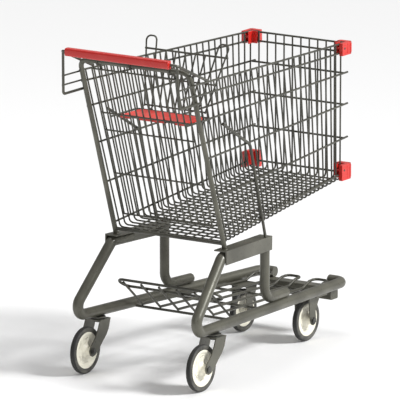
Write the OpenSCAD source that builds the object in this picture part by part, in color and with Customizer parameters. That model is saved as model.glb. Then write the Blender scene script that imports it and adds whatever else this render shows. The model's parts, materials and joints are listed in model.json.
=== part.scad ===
// Wire shopping trolley on four wheels, with a folding child seat in a lift-up gate.
// Millimetres. +X is forward to the nose, +Y is the pusher's left, +Z is up, the floor is Z = 0.
// Lengths along X are counted from the rear wheel centres and moved to the middle by placed().

/* [Overall] */
// Height of the top of the handle above the floor
handle_height = 1000; // [850:10:1200]
// Distance from the rear wheel centres to the front of the basket
nose_reach = 830; // [690:10:1000]
// Width of the basket between its side wires at the rear
basket_rear_width = 384; // [340:2:470]
// Width of the basket between its side wires at the nose
basket_nose_width = 320; // [264:2:384]

/* [Chassis] */
// Diameter of the two lower side tubes
tube_d = 32; // [24:1:38]
// Spacing of the lower side tubes at the rear wheels
tube_spacing = 415; // [380:1:498]
// Inward taper of each lower side tube, per metre of length
tube_taper = 70; // [40:1:90]
// Fall of the lower side tubes toward the nose, per metre of length
tube_fall = 26; // [10:1:40]
// Bend radius of the lower side tubes at the rear, to the centre line
tube_bend = 28.7; // [26:0.1:36]
// Angle of the rear part of each side tube above level
upright_angle = 45.5; // [40:0.5:55]
// Height of the top of the side rails at the rear
rail_height = 397; // [340:1:450]
// Width of the rail's top flange and height of its outer web
rail_leg = 42; // [32:1:50]
// Thickness of the rail
rail_t = 4; // [3:0.5:6]
// Length of the side rails
rail_length = 275; // [230:1:330]
// Diameter of the front posts
post_d = 29; // [20:1:34]
// Distance of the front posts ahead of the rear wheel centres
post_x = 380; // [340:1:400]
// Length of the foot of each front post lying along the side tube
post_foot = 125; // [80:1:160]
// Height of the front cross member
cross_height = 38; // [30:1:44]
// Depth of the front cross member, front to back
cross_depth = 40; // [30:1:44]

/* [Rear frame and handle] */
// Diameter of the rear frame tube
frame_d = 15; // [12:0.5:20]
// Forward slope of the rear frame, per millimetre of height
frame_lean = 0.3364; // [0.25:0.0001:0.42]
// Drop from the top of the handle to the centre of the frame's top tube
frame_drop = 49; // [40:1:70]
// Diameter of the crossbar under the rear of the basket
crossbar_d = 10; // [8:0.5:14]
// Diameter of the handle rod
handle_rod_d = 8; // [6:0.1:10]
// Distance of the handle rod behind the frame's top tube
handle_back = 81; // [60:1:110]
// Height of the handle grip
grip_height = 24; // [20:1:34]
// Length of the handle grip
grip_length = 360; // [280:2:372]
// Wall of the handle grip
grip_wall = 2.6; // [2:0.1:4]
// Play between the handle rod and the grip that snaps over it
grip_play = 0.1; // [0.05:0.01:0.3]

/* [Basket] */
// Diameter of the upright basket wires
wire_d = 5; // [4:0.1:6]
// Diameter of the level basket wires
rail_wire_d = 6; // [5:0.1:7]
// Number of upright wires on each side
side_wires = 28; // [20:1:30]
// Number of upright wires in the nose
nose_wires = 10; // [8:2:12]
// Drop from the handle to the basket rim at the rear
rim_drop = 86; // [75:1:110]
// Fall of the basket rim from rear to nose
rim_fall = 21; // [0:1:60]
// Height of the lowest side wire above the side rail
basket_lift = 34; // [30:1:60]
// Rise of the lowest side wire from rear to nose
floor_rise = 68; // [30:1:90]
// Drop from the lowest side wire to the basket floor
floor_drop = 20; // [16:1:30]
// Length of the side wires standing out past the nose
wire_poke = 20; // [5:1:25]
// Bend radius where the side wires turn under to the floor
wire_bend = 12; // [8:1:16]
// Diameter of the two stays that hold the basket sides
stay_d = 9; // [7:0.5:11]

/* [Bumpers] */
// Thickness of the corner bumpers
bumper_t = 12; // [8:0.5:16]
// Height of the upper corner bumpers
bumper_top_h = 38; // [30:1:44]
// Height of the lower corner bumpers
bumper_bottom_h = 48; // [40:1:70]
// Length of a bumper along the basket side
bumper_side = 32; // [30:1:60]
// Length of a bumper along the nose, from the basket side
bumper_nose = 30; // [24:1:50]

/* [Gate and child seat] */
// Width of the gate
gate_width = 316; // [280:2:330]
// Length of the gate below the frame's top tube, along its slope
gate_length = 520; // [420:1:524]
// Number of upright wires in the gate
gate_wires = 14; // [10:1:16]
// Play between the frame's top tube and the gate's rings
ring_play = 0.5; // [0.35:0.05:1]
// Height of the seat above the floor as a drop from the handle
seat_drop = 222; // [200:1:260]
// Distance of the seat flap's hinge rod ahead of the rear wheel centres
flap_x = 55; // [50:1:64]
// Distance of the seat back's hinge rod ahead of the flap's hinge rod
seat_depth = 110; // [96:1:116]
// Width of the seat flap
flap_width = 224; // [180:2:234]
// Thickness of the seat flap
flap_t = 7; // [5:0.5:9]
// Diameter of the rods that carry the seat
arm_d = 6; // [5:0.1:7]
// Height of the seat back above its hinge rod
back_rise = 166; // [130:1:172]
// Width of the seat back at its top bar
back_top_width = 290; // [250:2:310]
// Height of the two hand loops above the seat back's top bar
loop_rise = 37; // [20:1:42]
// Play between the seat's hinge rods and the eyes round them
eye_play = 0.4; // [0.35:0.05:0.8]

/* [Lower tray] */
// Diameter of the tray rods
tray_d = 8; // [6:0.5:10]
// Half spacing of the inner pair of tray rods at the rear
tray_step = 31.4; // [26:0.2:34]
// Height of the tray's rear lip above the floor
lip_height = 264; // [230:1:290]

/* [Wheels] */
// Diameter of the rear wheels
rear_wheel_d = 140; // [120:1:160]
// Spacing of the rear wheels
rear_track = 408; // [380:1:480]
// Distance of the swivel pin ahead of the rear wheel centre
trail = 66; // [50:1:72]
// Clear height from the top of the rear wheels to the side tubes
caster_rise = 22; // [20:0.5:34]
// Diameter of the front wheels
front_wheel_d = 130; // [110:1:134]
// Distance of the front wheels behind the front of the basket
front_set = 124; // [100:1:150]
// Distance of the front wheels inboard of the side tubes
front_inset = 46; // [43:0.5:60]
// Width of the tyres
tyre_w = 18; // [14:1:24]
// Radial thickness of the tyres
tyre_t = 15; // [10:0.5:20]
// Width of the hub barrel
barrel_w = 43; // [36:1:46]
// Inner gap between the two legs of a fork
fork_gap = 48; // [47.2:0.1:56]
// Thickness of the fork plates
fork_t = 3; // [2.5:0.5:4]
// Diameter of the wheel axles
axle_d = 12; // [8:0.5:14]
// Diameter of the swivel pins
kingpin_d = 12; // [8:0.5:14]
// Running fit between a pin and its bore, on the radius
pin_fit = 0.08; // [0.02:0.01:0.1]
// Gap between parts that turn face to face
face_gap = 0.4; // [0.3:0.1:0.6]

/* [Hidden] */
$fn = 32;
weld = 0.3;
bend_swell = 0.24;

// Colours of the finished trolley.
plated = [0.45, 0.45, 0.41];
red = [0.85, 0.2, 0.15];
cream = [0.93, 0.92, 0.85];
black = [0.12, 0.12, 0.12];

// Chassis lines.
tube_z0 = rear_wheel_d + caster_rise + tube_d / 2;
tube_end_x = nose_reach + 29;
cross_top = tube_z0 - tube_fall / 1000 * tube_end_x - tube_d / 2 + 1.5;
frame_half = basket_rear_width / 2 - 0.5;
frame_z = handle_height - frame_drop;
frame_x = -42;
handle_x = frame_x - handle_back;
handle_z = handle_height - grip_height / 2;
grip_back = handle_x - 14;
front_most = tube_end_x + tube_d / 2;
middle_x = (grip_back + front_most) / 2;
rail_start = 120;
frame_foot_z = rail_height - 2;
crossbar_z = rail_height + 16;

// Basket lines.
rim_z0 = handle_height - rim_drop;
bottom_z0 = rail_height + basket_lift;
side_out = (wire_d + rail_wire_d) / 2 - weld;
rows = [0, 0.07, 0.233, 0.475, 0.735, 1];
bumper_rows = [1, 5];
seat_z = handle_height - seat_drop;
seat_x = flap_x + seat_depth;
front_x = nose_reach - front_set;
gate_out = frame_d / 2 + ring_play + wire_d / 2;
gate_slope = atan(frame_lean);

// Height and sideways place of the lower side tube at distance x.
function tube_z(x) = tube_z0 - tube_fall / 1000 * x;
function tube_y(x) = tube_spacing / 2 - tube_taper / 1000 * x;
// Outer face of the side rail and height of its top at distance x.
function rail_y(x) = tube_y(x) + tube_d / 2 + rail_t - 5;
function rail_top(x) = rail_height - 0.0255 * (x - rail_start);
// Centre of the rear frame's posts at height z.
function frame_at(z) = frame_x + (frame_z - z) * frame_lean;
// Half width of the basket at distance x, to the centre of its upright wires.
function basket_y(x) = basket_rear_width / 2
    - (x - 60) * (basket_rear_width - basket_nose_width) / 2 / (nose_reach - 60);
// Heights of side wire number i at the rear and at the nose.
function row_rear(f) = rim_z0 - f * (rim_z0 - bottom_z0);
function row_nose(f) = rim_z0 - rim_fall - f * (rim_z0 - rim_fall - bottom_z0 - floor_rise);
function rim_z(x) = rim_z0 - rim_fall * (x - frame_at(rim_z0)) / (nose_reach - frame_at(rim_z0));
function floor_z(x) = bottom_z0 - floor_drop
    + floor_rise * (x - frame_at(bottom_z0)) / (nose_reach - frame_at(bottom_z0));
function row_z(f, x) = row_rear(f)
    + (row_nose(f) - row_rear(f)) * (x - frame_at(row_rear(f))) / (nose_reach - frame_at(row_rear(f)));
// A point of the gate, s below the top tube along the slope and o in front of it.
function gate_at(s, y, o) = [
    frame_x + s * sin(gate_slope) + o * cos(gate_slope), y,
    frame_z - s * cos(gate_slope) + o * sin(gate_slope)];
function unit(v) = v / norm(v);
function mix(a, b, t) = a + (b - a) * t;
// Start, end, centre and angle of a bend of radius r at corner b of the path a, b, c.
function bend_data(a, b, c, r) =
    let (u = unit(a - b), v = unit(c - b), half = acos(u * v) / 2, cut = r / tan(half))
    [b + cut * u, b + cut * v, b + unit(u + v) * r / sin(half), 180 - 2 * half];

// A straight round rod between two points.
module rod(a, b, d) {
    n = unit(b - a);
    translate(a) rotate([0, acos(n[2]), atan2(n[1], n[0])]) cylinder(h = norm(b - a), d = d);
}

// The bend of a round rod at corner b.
module elbow(a, b, c, r, d) {
    e = bend_data(a, b, c, r);
    x = unit(e[0] - e[2]);
    y = unit(b - a);
    z = cross(x, y);
    multmatrix([
        [x[0], y[0], z[0], e[2][0]],
        [x[1], y[1], z[1], e[2][1]],
        [x[2], y[2], z[2], e[2][2]],
        [0, 0, 0, 1]])
        rotate_extrude(angle = e[3]) translate([r, 0]) circle(d = d);
}

// A round rod along the points p with every corner bent to radius r.
// The bends swell by bend_swell and take in the ends of the straight lengths, so all is one solid.
module bent_rod(p, d, r) {
    last = len(p) - 1;
    for (i = [0:last - 1]) {
        along = unit(p[i + 1] - p[i]) * 0.8;
        from = i == 0 ? p[0] : bend_data(p[i - 1], p[i], p[i + 1], r)[1] - along;
        to = i == last - 1 ? p[last] : bend_data(p[i], p[i + 1], p[i + 2], r)[0] + along;
        rod(from, to, d);
    }
    for (i = [1:1:last - 1])
        elbow(p[i - 1], p[i], p[i + 1], r, d + bend_swell);
}

// Moves lengths counted from the rear wheel centres to the middle of the trolley.
module placed() {
    translate([-middle_x, 0, 0]) children();
}

// A hexagon with its flats s apart, standing on Z.
module hexagon(s, h) {
    cylinder(h = h, d = s / cos(30), $fn = 6);
}

// ---- Chassis ----

module lower_tube(side) {
    half = upright_angle / 2;
    corner_x = 0.7 - tube_bend / tan(half);
    top_z = rail_top(150) - rail_t - tube_d / 2 + weld;
    top_x = corner_x + (top_z - tube_z(corner_x)) / tan(upright_angle);
    color(plated) placed()
        bent_rod([
            [tube_end_x, side * (tube_y(tube_end_x) - 50), tube_z(tube_end_x)],
            [tube_end_x, side * tube_y(tube_end_x), tube_z(tube_end_x)],
            [corner_x, side * tube_y(corner_x), tube_z(corner_x)],
            [top_x, side * (tube_y(top_x) - 5), top_z],
            [top_x + 90, side * (tube_y(top_x + 90) - 5), top_z - 2.3]
        ], tube_d, tube_bend);
}

module lower_tube_left() { lower_tube(1); }
module lower_tube_right() { lower_tube(-1); }

module front_cross_member() {
    half = tube_y(nose_reach) - 22;
    color(plated) placed()
        translate([nose_reach + 9, -half, cross_top - cross_height / 2])
        rotate([-90, 0, 0])
        difference() {
            linear_extrude(2 * half) offset(5) square([cross_depth - 10, cross_height - 10], center = true);
            translate([0, 0, 3]) linear_extrude(2 * half - 6)
                offset(2) square([cross_depth - 10, cross_height - 10], center = true);
        }
}

module side_rail(side) {
    x0 = rail_start;
    x1 = rail_start + rail_length;
    turn = -atan(tube_taper / 1000);
    fall = atan(0.0255);
    color(plated) placed()
        translate([x0, side * rail_y(x0), rail_height])
        rotate([0, fall, side * turn])
        scale([1, side, 1]) {
            translate([0, -rail_leg, -rail_t]) cube([rail_length, rail_leg, rail_t]);
            translate([0, -rail_t, -rail_leg]) cube([rail_length, rail_t, rail_leg]);
        }
}

module side_rail_left() { side_rail(1); }
module side_rail_right() { side_rail(-1); }

module front_post(side) {
    y = rail_y(post_x) - rail_t - post_d / 2 + weld;
    reach = (tube_d + post_d) / 2 - weld;
    x1 = post_x + post_foot;
    corner = [post_x, side * y, tube_z(post_x) + reach - 0.3];
    toe = [x1, side * (tube_y(x1) - 3), tube_z(x1) + reach - 0.3];
    along = unit(toe - corner);
    color(plated) placed() {
        bent_rod([[post_x, side * y, rail_top(post_x) - rail_t + weld], corner, toe], post_d, post_d * 1.35);
        rod(toe - 4 * along, toe + 4 * along, post_d - 4);
        rod(toe - 4 * along, toe + 9 * along, post_d - 12);
    }
}

module front_post_left() { front_post(1); }
module front_post_right() { front_post(-1); }

// ---- Rear frame and handle ----

module rear_frame() {
    foot_x = frame_at(frame_foot_z);
    color(plated) placed()
        bent_rod([
            [foot_x, frame_half, frame_foot_z],
            [frame_x, frame_half, frame_z],
            [frame_x, -frame_half, frame_z],
            [foot_x, -frame_half, frame_foot_z]
        ], frame_d, 28);
}

module frame_crossbar() {
    half = frame_half - frame_d / 2 + weld;
    color(plated) placed()
        rod([frame_at(crossbar_z), -half, crossbar_z], [frame_at(crossbar_z), half, crossbar_z], crossbar_d);
}

module handle_rod() {
    y = frame_half + frame_d / 2 + 3.5;
    tip_z = rim_z(38) + (rail_wire_d + handle_rod_d) / 2 - 1.6;
    tip_y = basket_y(38) + side_out;
    color(plated) placed()
        bent_rod([
            [38, tip_y, tip_z], [handle_x, y, handle_z],
            [handle_x, -y, handle_z], [38, -tip_y, tip_z]
        ], handle_rod_d, 14);
}

module handle_bracket(side) {
    y = frame_half + (frame_d + handle_rod_d) / 2 - weld;
    low = frame_z - 94;
    back = handle_x + 13;
    color(plated) placed() {
        bent_rod([
            [handle_x + 6, side * (y - 4), handle_z - 3],
            [back, side * y, low],
            [frame_at(low) + 6, side * y, low]
        ], handle_rod_d, 9);
        for (z = [frame_z - 39, frame_z - 67])
            rod([back - 5, side * y, z], [frame_at(z), side * (y - 2), z], wire_d);
    }
}

module handle_bracket_left() { handle_bracket(1); }
module handle_bracket_right() { handle_bracket(-1); }

module handle_grip() {
    depth = 18;
    hole = handle_rod_d + 2 * grip_play;
    heart = handle_rod_d + 5;
    color(red) placed()
        translate([handle_x, grip_length / 2, handle_z]) rotate([90, 0, 0])
        difference() {
            linear_extrude(grip_length) difference() {
                union() {
                    difference() {
                        translate([depth / 2 - 14, 0]) offset(3) square([depth - 6, grip_height - 6], center = true);
                        translate([depth / 2 - 14 + grip_wall, 0])
                            square([depth, grip_height - 2 * grip_wall], center = true);
                    }
                    translate([-13, -heart / 2]) square([15, heart]);
                }
                circle(d = hole);
                translate([0, -handle_rod_d * 0.41]) square([12, handle_rod_d * 0.82]);
            }
            for (end = [0, grip_length])
                translate([-14, 0, end]) rotate([0, 45, 0]) cube([9, 60, 9], center = true);
        }
}

// ---- Basket ----

module side_wires(side) {
    last = side_wires - 1;
    color(plated) placed()
        for (i = [0:last]) {
            xt = mix(frame_at(rim_z0) + 22, nose_reach - 12, i / last);
            xb = mix(frame_at(bottom_z0) + 28, nose_reach - 14, i / last);
            bent_rod([
                [xt, side * basket_y(xt), rim_z(xt) + 1],
                [xb, side * basket_y(xb), floor_z(xb)],
                [xb, side * (basket_y(xb) - wire_bend - 8), floor_z(xb)]
            ], wire_d, wire_bend);
        }
}

module side_rows(side) {
    color(plated) placed()
        for (i = [0:len(rows) - 1]) {
            f = rows[i];
            x0 = frame_at(row_rear(f));
            poke = (i == 0 || i == 1 || i == 5) ? 3 : wire_poke;
            x1 = nose_reach + poke;
            rod([x0, side * (basket_y(x0) + side_out), row_rear(f)],
                [x1, side * (basket_y(x1) + side_out), row_z(f, x1)], rail_wire_d);
        }
}

module side_wires_left() { side_wires(1); }
module side_wires_right() { side_wires(-1); }
module side_rows_left() { side_rows(1); }
module side_rows_right() { side_rows(-1); }

module nose_rows() {
    half = basket_y(nose_reach) + side_out - rail_wire_d / 2 + weld;
    color(plated) placed()
        for (f = rows)
            rod([nose_reach, -half, row_nose(f)], [nose_reach, half, row_nose(f)], rail_wire_d);
}

module nose_uprights() {
    step = (2 * basket_y(nose_reach) - 40) / (nose_wires - 1) * 0.96;
    up_x = nose_reach - side_out;
    low = floor_z(up_x) + wire_d - weld;
    color(plated) placed()
        for (i = [0:nose_wires - 1]) {
            y = (i - (nose_wires - 1) / 2) * step;
            bent_rod([[up_x, y, row_nose(0) + 1], [up_x, y, low],
                [up_x - 26, y, floor_z(up_x - 26) + wire_d - weld]], wire_d, wire_bend);
        }
}

module floor_panel() {
    last = side_wires - 1;
    step = (2 * basket_y(nose_reach) - 40) / (nose_wires - 1) * 0.96;
    up_x = nose_reach - side_out - 26;
    rear_x = frame_at(crossbar_z) + 1.5;
    color(plated) placed() {
        for (i = [0:last]) {
            xb = mix(frame_at(bottom_z0) + 28, nose_reach - 14, i / last);
            half = basket_y(xb) - wire_bend - 8;
            rod([xb, -half, floor_z(xb)], [xb, half, floor_z(xb)], wire_d);
        }
        for (i = [0:nose_wires - 1]) {
            y = (i - (nose_wires - 1) / 2) * step;
            rod([rear_x, y, floor_z(rear_x) + wire_d - weld], [up_x, y, floor_z(up_x) + wire_d - weld], wire_d);
        }
    }
}

module basket_stay(side) {
    out = side_out + (rail_wire_d + stay_d) / 2 - weld;
    xa = 118;
    xb = 272;
    xc = post_x - 18;
    color(plated) placed()
        bent_rod([
            [xa, side * (basket_y(xa) + out), row_z(rows[2], xa) - 26],
            [xb, side * (basket_y(xb) + out), row_z(rows[3], xb) - 4],
            [xc, side * (basket_y(xc) + out), rail_top(xc) - 1.6]
        ], stay_d, 24);
}

module basket_stay_left() { basket_stay(1); }
module basket_stay_right() { basket_stay(-1); }

// A corner bumper from height z0, h tall: a block outside the wires, a plate inside them,
// and two bosses that pass between the wires and join them.
module bumper(side, z0, h) {
    out = side_out + rail_wire_d / 2 - weld;
    x0 = nose_reach - bumper_side;
    x1 = nose_reach + rail_wire_d / 2 - weld;
    x2 = x1 + bumper_t * 1.5;
    y0 = basket_y(x0) + out;
    y1 = basket_y(x1) + out;
    xi = nose_reach - side_out - wire_d / 2 - 0.6;
    yi = basket_y(nose_reach) - wire_d / 2 - 0.6;
    low = max(z0, floor_z(nose_reach) + 9);
    boss = (low + z0 + h) / 2 + 2;
    color(red) placed() scale([1, side, 1]) {
        translate([0, 0, z0]) linear_extrude(h)
        offset(2) offset(-2) polygon([
            [x0, y0], [x0 + 4, y0 + bumper_t - 1], [x2 - 9, y1 + bumper_t],
            [x2 - 2, y1 + bumper_t - 3], [x2, y1 + bumper_t - 10],
            [x2, y1 - bumper_nose + 6], [x2 - 4, y1 - bumper_nose], [x1, y1 - bumper_nose],
            [x1, y1]
        ]);
        translate([0, 0, low]) linear_extrude(z0 + h - low) polygon([
            [x0, yi], [x0, yi - 3], [xi - 3, yi - 3], [xi - 3, y1 - bumper_nose],
            [xi, y1 - bumper_nose], [xi, yi]
        ]);
        translate([x0 + 7, yi - 1, boss]) rotate([-90, 0, 0]) cylinder(h = y0 - yi + 3, d = 7);
        translate([xi - 1, y1 - bumper_nose + 9, boss]) rotate([0, 90, 0]) cylinder(h = x1 - xi + 3, d = 7);
    }
}

module bumper_top_left() { bumper(1, row_nose(0) + 4 - bumper_top_h, bumper_top_h); }
module bumper_top_right() { bumper(-1, row_nose(0) + 4 - bumper_top_h, bumper_top_h); }
module bumper_bottom_left() { bumper(1, row_nose(1) - 20, bumper_bottom_h); }
module bumper_bottom_right() { bumper(-1, row_nose(1) - 20, bumper_bottom_h); }

// ---- Lower tray ----

// Height of the tray rods at distance x.
function tray_z(x) = mix(tube_z(232) - 2, cross_top + tray_d / 2 - weld, (x - 232) / (nose_reach - 236));
// Sideways place of tray rod k at distance x, from k = 1, 3 or 5.
function tray_y(k, x) = k * tray_step * (tube_y(x) - 10) / (tube_y(232) - 10);

module tray_floor() {
    x1 = nose_reach - 88;
    x2 = nose_reach - 48;
    x3 = nose_reach - 14;
    color(plated) placed()
        for (pair = [[-5, -3], [-1, 1], [3, 5]])
            bent_rod([
                [232, tray_y(pair[0], 232), tray_z(232)],
                [x1, tray_y(pair[0], x1), tray_z(x1)],
                [x2, tray_y(pair[0], x2), tray_z(x1) + 14],
                [x3, tray_y(pair[0], x3), tray_z(x1) + 15],
                [x3, tray_y(pair[1], x3), tray_z(x1) + 15],
                [x2, tray_y(pair[1], x2), tray_z(x1) + 14],
                [x1, tray_y(pair[1], x1), tray_z(x1)],
                [232, tray_y(pair[1], 232), tray_z(232)]
            ], tray_d, 16);
}

module tray_back() {
    up = [127, 0, lip_height];
    down = [164, 0, lip_height - 27];
    half = tube_y(140) - tube_d / 2 + weld - tray_d / 2 - 23;
    middle = (up + down) / 2;
    r = norm(up - down) / 2;
    across = unit(up - down);
    color(plated) placed() {
        rod(up + [0, -half - 0.8, 0], up + [0, half + 0.8, 0], tray_d);
        rod(down + [0, -half - 0.8, 0], down + [0, half + 0.8, 0], tray_d);
        for (side = [-1, 1])
            multmatrix([
                [across[0], 0, side * across[2], middle[0]],
                [0, side, 0, side * half],
                [across[2], 0, -side * across[0], middle[2]],
                [0, 0, 0, 1]])
                rotate_extrude(angle = 180) translate([r, 0]) circle(d = tray_d + bend_swell);
        for (k = [-5, -3, -1, 1, 3, 5])
            rod([up[0] + 4, tray_y(k, 232), up[2] - 8.5], [232, tray_y(k, 232), tray_z(232)], tray_d - 1);
    }
}

module tray_cross_rods() {
    drop = tray_d - weld;
    color(plated) placed()
        for (x = [232, 430, 610, 752])
            let (z = tray_z(x) - drop, dz = tube_z(x) - z,
                half = tube_y(x) - sqrt(max(0, pow(tube_d / 2, 2) - dz * dz)) + 1)
            rod([x, -half, z], [x, half, z], tray_d);
}

// ---- Gate and child seat ----

module gate_panel() {
    half = gate_width / 2;
    lines = [30, 176, 234, 379, gate_length - 4];
    color(plated) placed() {
        for (s = lines)
            rod(gate_at(s, -half, gate_out - wire_d + weld), gate_at(s, half, gate_out - wire_d + weld), wire_d);
        for (i = [0:gate_wires - 1]) {
            y = (i / (gate_wires - 1) - 0.5) * (gate_width - 6);
            rod(gate_at(4, y, gate_out), gate_at(gate_length, y, gate_out), wire_d);
        }
    }
}

module gate_rings() {
    color(plated) placed()
        for (y = [-0.4, 0, 0.4])
            let (c = y * gate_width + (y == 0 ? 12 : 0)) {
            translate([frame_x, c, frame_z]) rotate([90, 0, 0])
                rotate_extrude() translate([gate_out, 0]) circle(d = wire_d);
            rod(gate_at(4, c, gate_out + 0.6), gate_at(36, c, gate_out + 0.6), wire_d - 0.8);
            }
}

module seat_arms() {
    z = seat_z - flap_t / 2 + 0.1;
    y = (gate_wires / 2 - 1.5) / (gate_wires - 1) * (gate_width - 6);
    s = (frame_z + gate_out * sin(gate_slope) - z) / cos(gate_slope);
    root = gate_at(s, y, gate_out);
    color(plated) placed() {
        bent_rod([
            [root[0], y, z], [seat_x, y, z],
            [seat_x, -y, z], [root[0], -y, z]
        ], arm_d, 9);
        rod([flap_x, -y + 1, z], [flap_x, y - 1, z], arm_d);
        rod([(flap_x + seat_x) / 2, -y + 1, z - (flap_t + arm_d) / 2 - face_gap],
            [(flap_x + seat_x) / 2, y - 1, z - (flap_t + arm_d) / 2 - face_gap], arm_d);
        for (side = [-1, 1])
            rod([(flap_x + seat_x) / 2, side * (y - 1), z - (flap_t + arm_d) / 2 - face_gap],
                [(flap_x + seat_x) / 2, side * (y - 1), z], arm_d - 1);
    }
}

module seat_back() {
    top = [seat_x + back_rise * 0.373, seat_z + back_rise];
    low = [seat_x + 0.373 * 12, seat_z + 10];
    yt = back_top_width / 2;
    yb = flap_width / 2 - 4;
    d = wire_d;
    color(plated) placed() {
        rod([top[0] + 4.6, -yt, top[1]], [top[0] + 4.6, yt, top[1]], d + 1);
        rod([low[0] + 4.6, -yb, low[1]], [low[0] + 4.6, yb, low[1]], d);
        mid = (top + low) / 2;
        rod([mid[0] + 4.6, -(yt + yb) / 2, mid[1]], [mid[0] + 4.6, (yt + yb) / 2, mid[1]], d);
        for (i = [-2:2])
            rod([low[0] - 1, i / 4 * yb * 0.98, low[1] - 2.7], [top[0] + 1, i / 4 * (yt - 6), top[1] + 2.7], d);
        grow = 1 + loop_rise / (top[1] - low[1]);
        tip = mix(low, top, grow);
        for (side = [-1, 1]) {
            a = side * yb * 0.98;
            b = mix(a, side * (yt - 6), grow);
            bent_rod([
                [low[0] - 1, 0.75 * a, low[1] - 2.7], [tip[0], 0.75 * b, tip[1]],
                [tip[0], b, tip[1]], [low[0] - 1, a, low[1] - 2.7]
            ], d, 14);
        }
    }
}

module seat_back_eyes() {
    z = seat_z - flap_t / 2 + 0.1;
    r = arm_d / 2 + eye_play + wire_d / 2;
    low = [seat_x + 0.373 * 12, seat_z + 10];
    color(plated) placed()
        for (y = [-0.36, 0, 0.36]) {
            translate([seat_x, y * flap_width, z]) rotate([90, 0, 0])
                rotate_extrude() translate([r, 0]) circle(d = wire_d);
            rod([seat_x + r * 0.373, y * flap_width, z + r * 0.93],
                [low[0] + 4.6, y * flap_width, low[1]], wire_d - 0.6);
        }
}

module seat_flap() {
    z = seat_z - flap_t / 2 + 0.1;
    r = arm_d / 2 + eye_play;
    w = flap_width;
    color(red) placed() difference() {
        union() {
            translate([flap_x, w / 2, z]) rotate([90, 0, 0]) linear_extrude(w)
                offset(2) offset(-2) translate([0, -flap_t / 2]) square([seat_depth - 10, flap_t]);
            translate([flap_x, w / 2, z]) rotate([90, 0, 0]) cylinder(h = w, r = r + 2.6);
        }
        translate([flap_x, w / 2 + 1, z]) rotate([90, 0, 0]) cylinder(h = w + 2, r = r);
        for (y = [-0.28, 0.28])
            translate([flap_x, y * w, z]) cube([4 * r + 12, 34, 30], center = true);
    }
}

// ---- Wheels ----

// The tyre of a wheel of diameter d, its axis along Y.
module tyre(d) {
    r = d / 2;
    h = tyre_w / 2;
    rotate([90, 0, 0]) rotate_extrude() polygon([
        [r - tyre_t, -h + 2], [r - tyre_t + 2, -h], [r - 5, -h], [r - 1.5, -h + 2.5], [r, -h + 6],
        [r, h - 6], [r - 1.5, h - 2.5], [r - 5, h], [r - tyre_t + 2, h], [r - tyre_t, h - 2]]);
}

// The hub disc and barrel of a wheel of diameter d, its axis along Y.
module hub(d) {
    r = d / 2 - tyre_t - 0.1;
    b = barrel_w / 2;
    bore = axle_d / 2 + pin_fit;
    rotate([90, 0, 0]) rotate_extrude() polygon([
        [bore, -b], [bore + 5, -b], [bore + 12, -8], [bore + 16, -5], [r - 9, -3], [r - 6, -7], [r, -7],
        [r, 7], [r - 6, 7], [r - 9, 3], [bore + 16, 5], [bore + 12, 8], [bore + 5, b], [bore, b]]);
}

// An axle bolt with its collars and nut, the head toward +Y.
module axle() {
    g = fork_gap / 2;
    b = barrel_w / 2 + face_gap;
    out = g + fork_t;
    rotate([-90, 0, 0]) {
        translate([0, 0, -out - 9]) cylinder(h = 2 * out + 10, d = axle_d);
        translate([0, 0, out]) hexagon(axle_d * 1.5, 5);
        for (s = [-1, 1])
            scale([1, 1, s]) translate([0, 0, b]) cylinder(h = g - b, r = axle_d / 2 + 3);
        difference() {
            translate([0, 0, -out - 6]) hexagon(axle_d * 1.5, 6);
            translate([0, 0, -out - 7]) cylinder(h = 8, d = axle_d + 0.1);
        }
    }
}

module rear_at(side) { placed() translate([0, side * rear_track / 2, rear_wheel_d / 2]) children(); }
module front_at(side) {
    placed() translate([front_x, side * (tube_y(front_x) - front_inset), front_wheel_d / 2]) children();
}

module rear_tyre_left() { color(black) rear_at(1) tyre(rear_wheel_d); }
module rear_tyre_right() { color(black) rear_at(-1) tyre(rear_wheel_d); }
module rear_hub_left() { color(cream) rear_at(1) hub(rear_wheel_d); }
module rear_hub_right() { color(cream) rear_at(-1) hub(rear_wheel_d); }
module front_tyre_left() { color(black) front_at(1) tyre(front_wheel_d); }
module front_tyre_right() { color(black) front_at(-1) tyre(front_wheel_d); }
module front_hub_left() { color(cream) front_at(1) hub(front_wheel_d); }
module front_hub_right() { color(cream) front_at(-1) hub(front_wheel_d); }
module rear_axle_left() { color(plated) rear_at(1) axle(); }
module rear_axle_right() { color(plated) rear_at(-1) mirror([0, 1, 0]) axle(); }
module front_axle_left() { color(plated) front_at(1) axle(); }
module front_axle_right() { color(plated) front_at(-1) mirror([0, 1, 0]) axle(); }

// Heights in the swivel, from the side tube down.
plate_top = tube_z(trail) - tube_d / 2 + weld;
plate_low = plate_top - 3.4;
crown_top = plate_low - face_gap - 3;
crown_low = crown_top - fork_t;

module swivel_plate(side) {
    color(plated) placed() translate([trail, side * rear_track / 2, 0]) {
        translate([0, 0, plate_low]) cylinder(h = plate_top - plate_low, d = 46);
        translate([0, 0, crown_low - face_gap - 8]) cylinder(h = plate_low - crown_low + face_gap + 9, d = kingpin_d);
        translate([0, 0, crown_low - face_gap - 7]) hexagon(kingpin_d * 1.55, 7);
    }
}

module caster_race(side) {
    color(plated) placed() translate([trail, side * rear_track / 2, crown_top])
        difference() {
            cylinder(h = 3, d1 = 44, d2 = 38);
            translate([0, 0, -1]) cylinder(h = 5, d = kingpin_d + 8);
        }
}

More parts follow.
